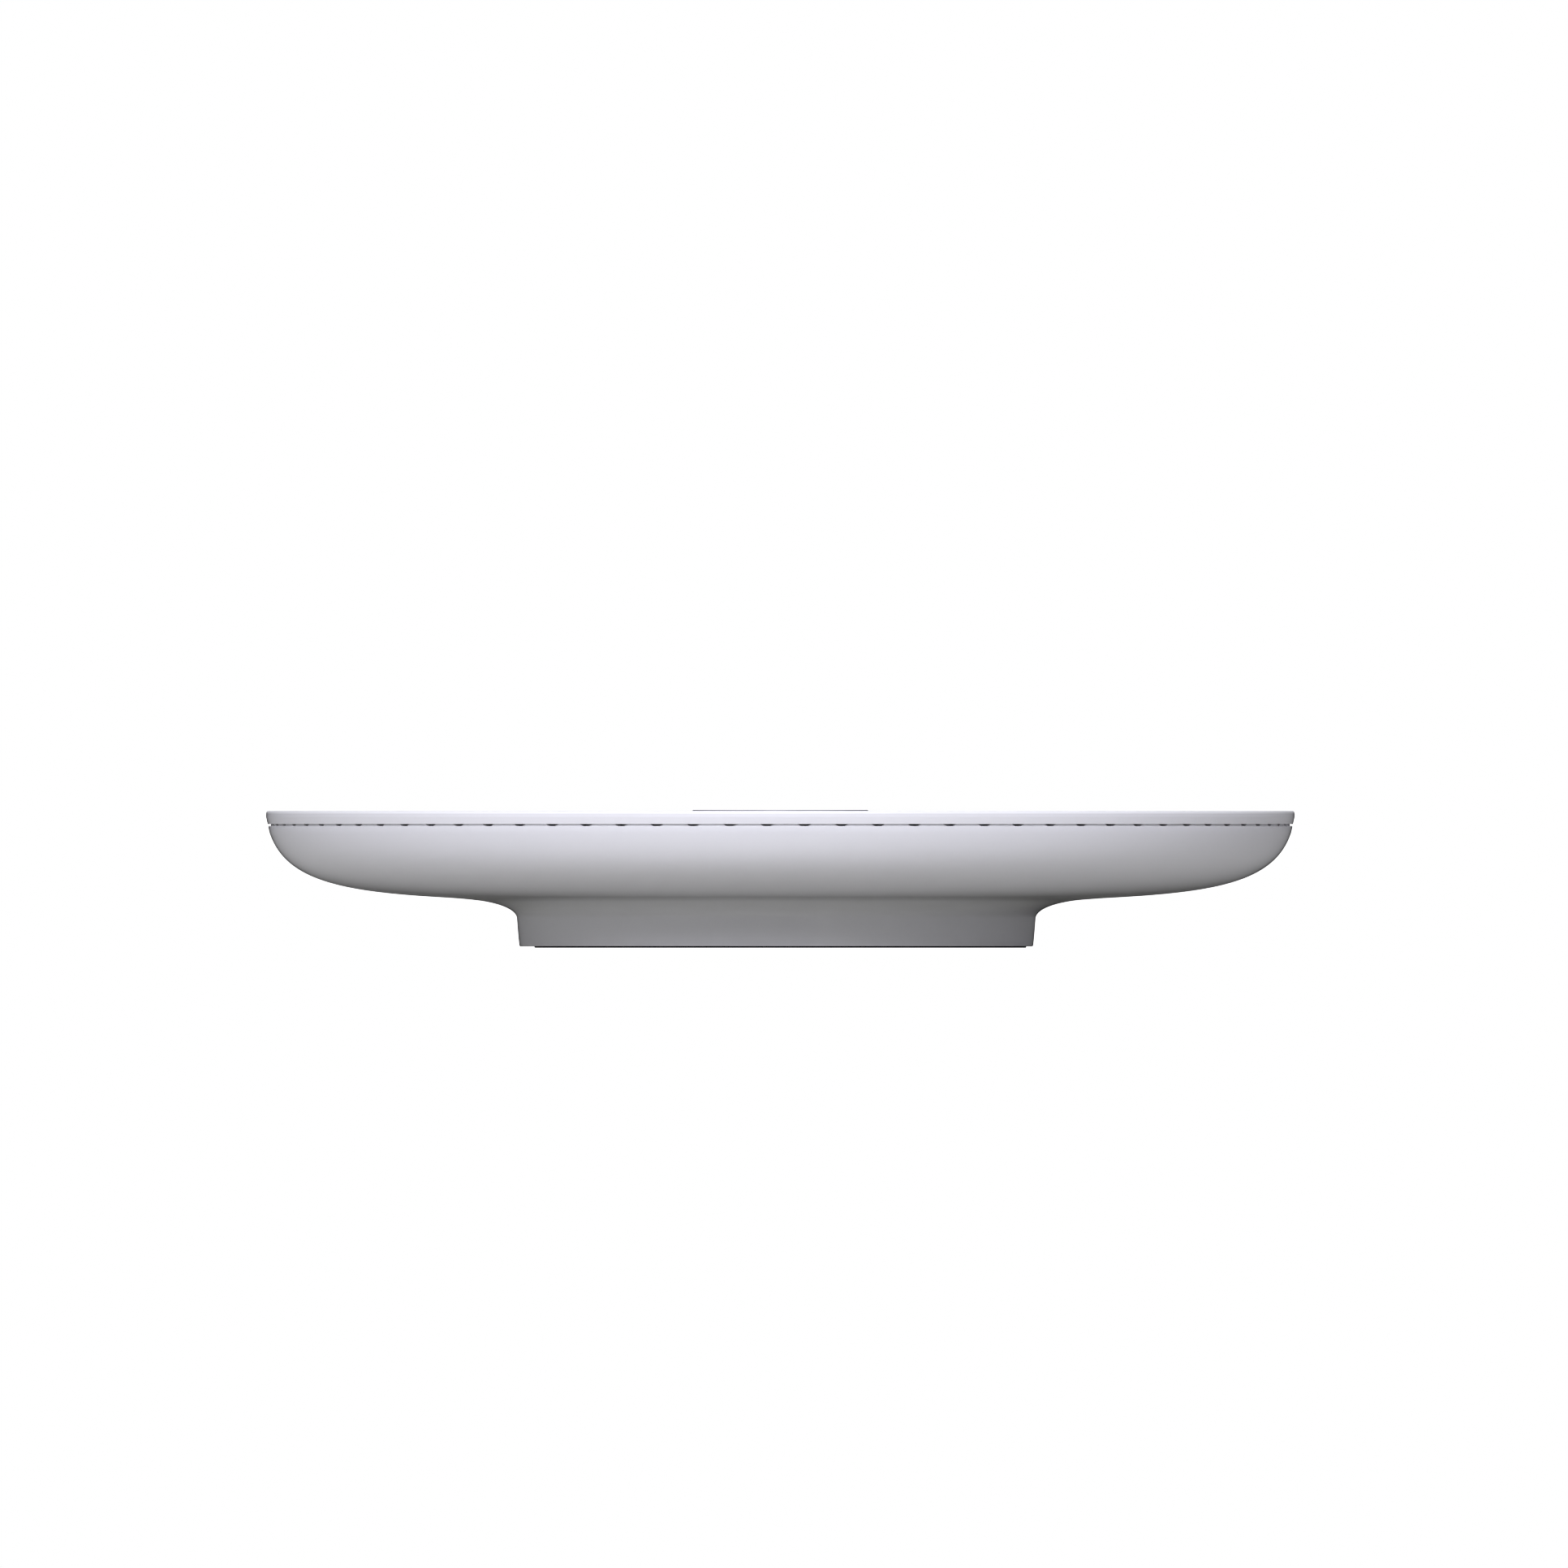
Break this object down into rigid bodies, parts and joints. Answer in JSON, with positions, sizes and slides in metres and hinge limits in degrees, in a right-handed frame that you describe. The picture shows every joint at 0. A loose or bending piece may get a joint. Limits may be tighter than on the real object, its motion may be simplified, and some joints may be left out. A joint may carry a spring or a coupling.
{
  "type": "ceiling access point",
  "caption": "Round ceiling wireless access point: white disc radome and bowl housing whose foot twists onto a black steel ceiling plate, with a network jack in a cable bay.",
  "frame": {"origin": "centre of the mounting plate's contact face, which is the ceiling plane when installed (z = 0)", "axes": "+Z is out of the ceiling towards the room, along the disc's axis, so the wide face looks up in this frame; -Y is the front; the network jack opens towards +X"},
  "size_m": [0.22, 0.22, 0.0294],
  "materials": {
    "white_shell": "fine moulded texture, semi-matte",
    "white_cap": "fine moulded texture, semi-matte",
    "lens": "smooth, translucent",
    "clear_guide": "clear moulded",
    "black_plate": "black powder coat on sheet steel",
    "spring_steel": "bright spring steel",
    "zinc_steel": "zinc plated",
    "black_plastic": "moulded",
    "white_plastic": "moulded",
    "pcb": "solder mask",
    "chip_black": "moulded package",
    "aluminium": "die cast",
    "thermal_pad": "soft silicone",
    "tin_plate": "tin-plated stamping",
    "gold_plate": "gold-plated contact",
    "ferrite": "sintered ferrite",
    "sleeve": "shrink sleeve on aluminium can",
    "led": "diffused",
    "label": "blank printed label stock"
  },
  "bodies": {
    "ceiling_plate": {"mounting_plate": "black_plate", "latch_rivets": "zinc_steel"},
    "latch": {"latch_spring": "spring_steel", "latch_pin": "black_plastic"},
    "access_point": {"bottom_housing": "white_shell", "vent_ring": "white_shell", "radome_cap": "white_cap", "indicator_lens": "lens", "light_guide": "clear_guide", "bayonet_studs": "zinc_steel", "housing_screws": "zinc_steel", "rating_label": "label", "main_pcb": "pcb", "pcb_screws": "zinc_steel", "heat_spreader": "aluminium", "thermal_pads": "thermal_pad", "soc_chip": "chip_black", "memory_chips": "chip_black", "flash_chip": "chip_black", "radio_chips": "chip_black", "front_end_chips": "chip_black", "rf_shields": "tin_plate", "antennas_low_band": "tin_plate", "antennas_high_band": "tin_plate", "antenna_supports": "black_plastic", "rj45_shell": "tin_plate", "rj45_body": "black_plastic", "rj45_contacts": "gold_plate", "lan_transformer": "chip_black", "poe_transformer": "ferrite", "power_inductors": "ferrite", "capacitors": "sleeve", "status_leds": "led", "reset_switch": "black_plastic"},
    "reset": {"reset_button": "white_plastic"}
  },
  "joints": [
    {"name": "mount_twist", "type": "hinge", "parent": "ceiling_plate", "child": "access_point", "pos_m": [0, 0, 0.0024], "axis": [0, 0, 1], "range_deg": [0, 18]},
    {"name": "latch_flex", "type": "hinge", "parent": "ceiling_plate", "child": "latch", "pos_m": [0.03111, 0.02546, 0.0016], "axis": [-0.7071, -0.7071, 0], "range_deg": [0, 2.9], "deforming": ["latch_spring"]},
    {"name": "reset_press", "type": "slide", "parent": "access_point", "child": "reset", "axis": [0, 0, 1], "range_m": [0, 0.0005], "stiffness_N_per_m": 2500}
  ],
  "couplings": [
    {"joint": "latch_flex", "follows": "mount_twist", "ratio": 0.15922}
  ]
}
